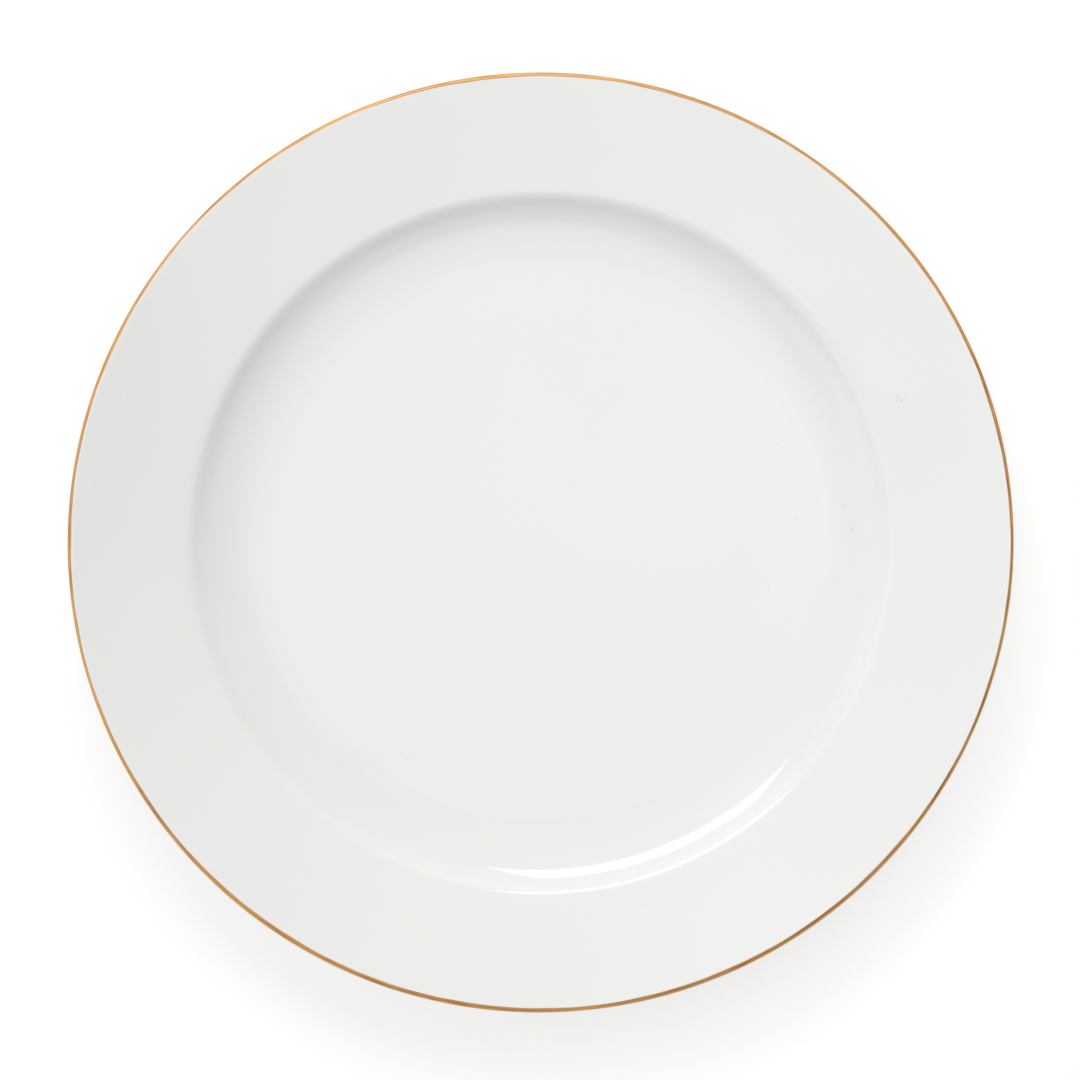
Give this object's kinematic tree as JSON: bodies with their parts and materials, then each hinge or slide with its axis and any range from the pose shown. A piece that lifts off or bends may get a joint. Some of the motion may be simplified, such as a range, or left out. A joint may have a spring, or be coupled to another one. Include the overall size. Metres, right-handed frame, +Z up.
{
  "type": "dinner plate",
  "caption": "Round rimmed china dinner plate with a coved well, a shallow foot ring underneath and a thin gold line round its lip.",
  "frame": {"origin": "centre of the foot ring, in the plane that its seat stands on", "axes": "+Z up along the plate's axis of revolution, out of the well; +X and +Y lie in the resting plane and are alike, because the plate is a body of revolution"},
  "size_m": [0.27, 0.27, 0.0203],
  "materials": {
    "bisque_porcelain": "matte",
    "white_glaze": "gloss",
    "burnished_gold": "polished"
  },
  "bodies": {
    "root": {"porcelain_body": "bisque_porcelain", "glaze_coat": "white_glaze", "recess_glaze": "white_glaze", "gold_edge_line": "burnished_gold"}
  },
  "joints": []
}
